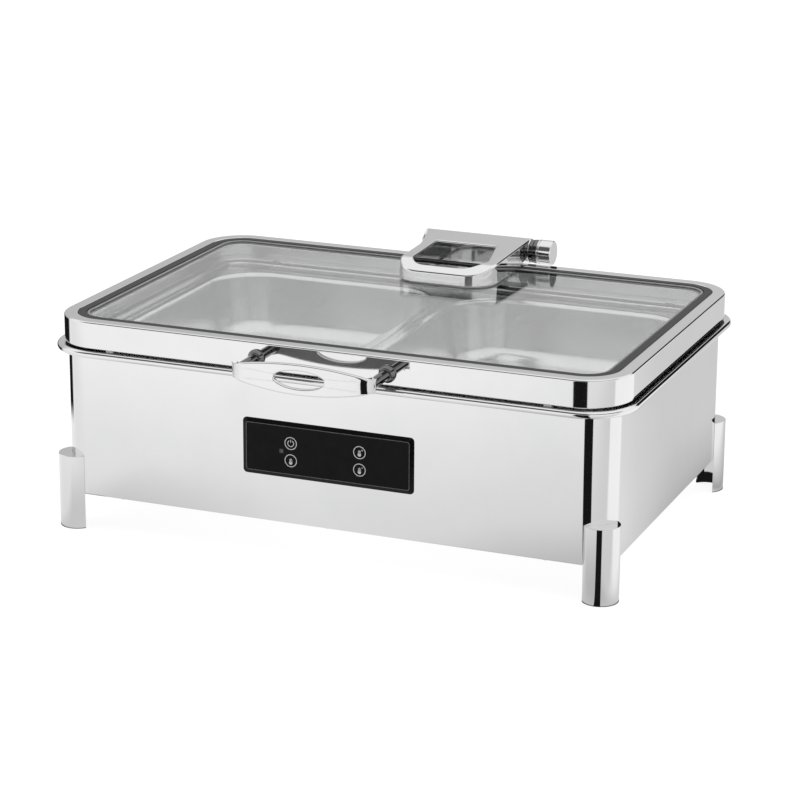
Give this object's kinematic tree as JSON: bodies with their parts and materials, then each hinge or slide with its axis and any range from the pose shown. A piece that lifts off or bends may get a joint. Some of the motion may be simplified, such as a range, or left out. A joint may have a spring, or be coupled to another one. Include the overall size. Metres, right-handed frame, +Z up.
{
  "type": "electric chafing dish",
  "caption": "Electric chafing dish: polished steel water-bath cabinet on tube feet, with lift-out food pans, a touch panel and a glass lid on a friction hinge at the back.",
  "frame": {"origin": "on the table, under the middle of the whole box", "axes": "+X to the right along the long front, +Y to the hinge at the back, +Z up"},
  "size_m": [0.588, 0.4634, 0.2352],
  "materials": {
    "polished_steel": "mirror polished stainless steel",
    "satin_steel": "satin pressed stainless steel",
    "heater_aluminium": "mill",
    "dark_steel": "dark oxidised steel",
    "screw_steel": "zinc plated",
    "brass": "machined",
    "black_plastic": "moulded, glossy",
    "panel_glass": "gloss, with printed key signs",
    "touch_copper": "bare copper",
    "lamp": "tinted lens",
    "board": "solder mask",
    "terminal": "moulded",
    "wire": "silicone sleeve",
    "clear_glass": "clear tempered",
    "bumper": "pale silicone",
    "silicone": "dark grey silicone"
  },
  "bodies": {
    "base": {"body_shell": "polished_steel", "body_rim": "polished_steel", "bottom_plate": "satin_steel", "bottom_plate_screws": "screw_steel", "foot_front_left": "polished_steel", "foot_front_right": "polished_steel", "foot_rear_left": "polished_steel", "foot_rear_right": "polished_steel", "foot_screws": "screw_steel", "water_pan": "satin_steel", "food_pan_left": "satin_steel", "food_pan_right": "satin_steel", "heater_plate": "heater_aluminium", "heater_element": "dark_steel", "element_straps": "satin_steel", "heat_shield": "satin_steel", "shield_posts": "dark_steel", "temperature_sensor": "brass", "thermal_cutout": "dark_steel", "panel_bezel": "black_plastic", "panel_retainer": "dark_steel", "panel_glass": "panel_glass", "touch_pads": "touch_copper", "indicator_lamp": "lamp", "control_board": "board", "control_board_screws": "screw_steel", "power_board": "board", "power_board_posts": "satin_steel", "power_relay": "black_plastic", "power_supply": "touch_copper", "terminal_block": "terminal", "appliance_inlet": "black_plastic", "inlet_pins": "brass", "inlet_screws": "screw_steel", "mains_leads": "wire", "heater_leads": "wire", "signal_cable": "wire", "hinge_base": "polished_steel", "hinge_base_screws": "screw_steel", "hinge_backing_plate": "satin_steel", "hinge_shaft": "dark_steel", "hinge_end_cap": "polished_steel", "friction_washers": "black_plastic", "hinge_set_screws": "screw_steel"},
    "lid": {"lid_frame": "polished_steel", "lid_glass": "clear_glass", "glass_seal": "silicone", "lid_bumpers": "bumper", "handle_plate": "polished_steel", "handle_post_left": "polished_steel", "handle_post_right": "polished_steel", "handle_screws": "screw_steel", "hinge_arm": "polished_steel", "arm_pad": "silicone", "arm_clamp_plate": "satin_steel", "arm_screws": "screw_steel", "arm_bushes": "brass"}
  },
  "joints": [
    {"name": "lid_hinge", "type": "hinge", "parent": "base", "child": "lid", "pos_m": [0.012, 0.21875, 0.2222], "axis": [-1, 0, 0], "range_deg": [0, 90]}
  ]
}
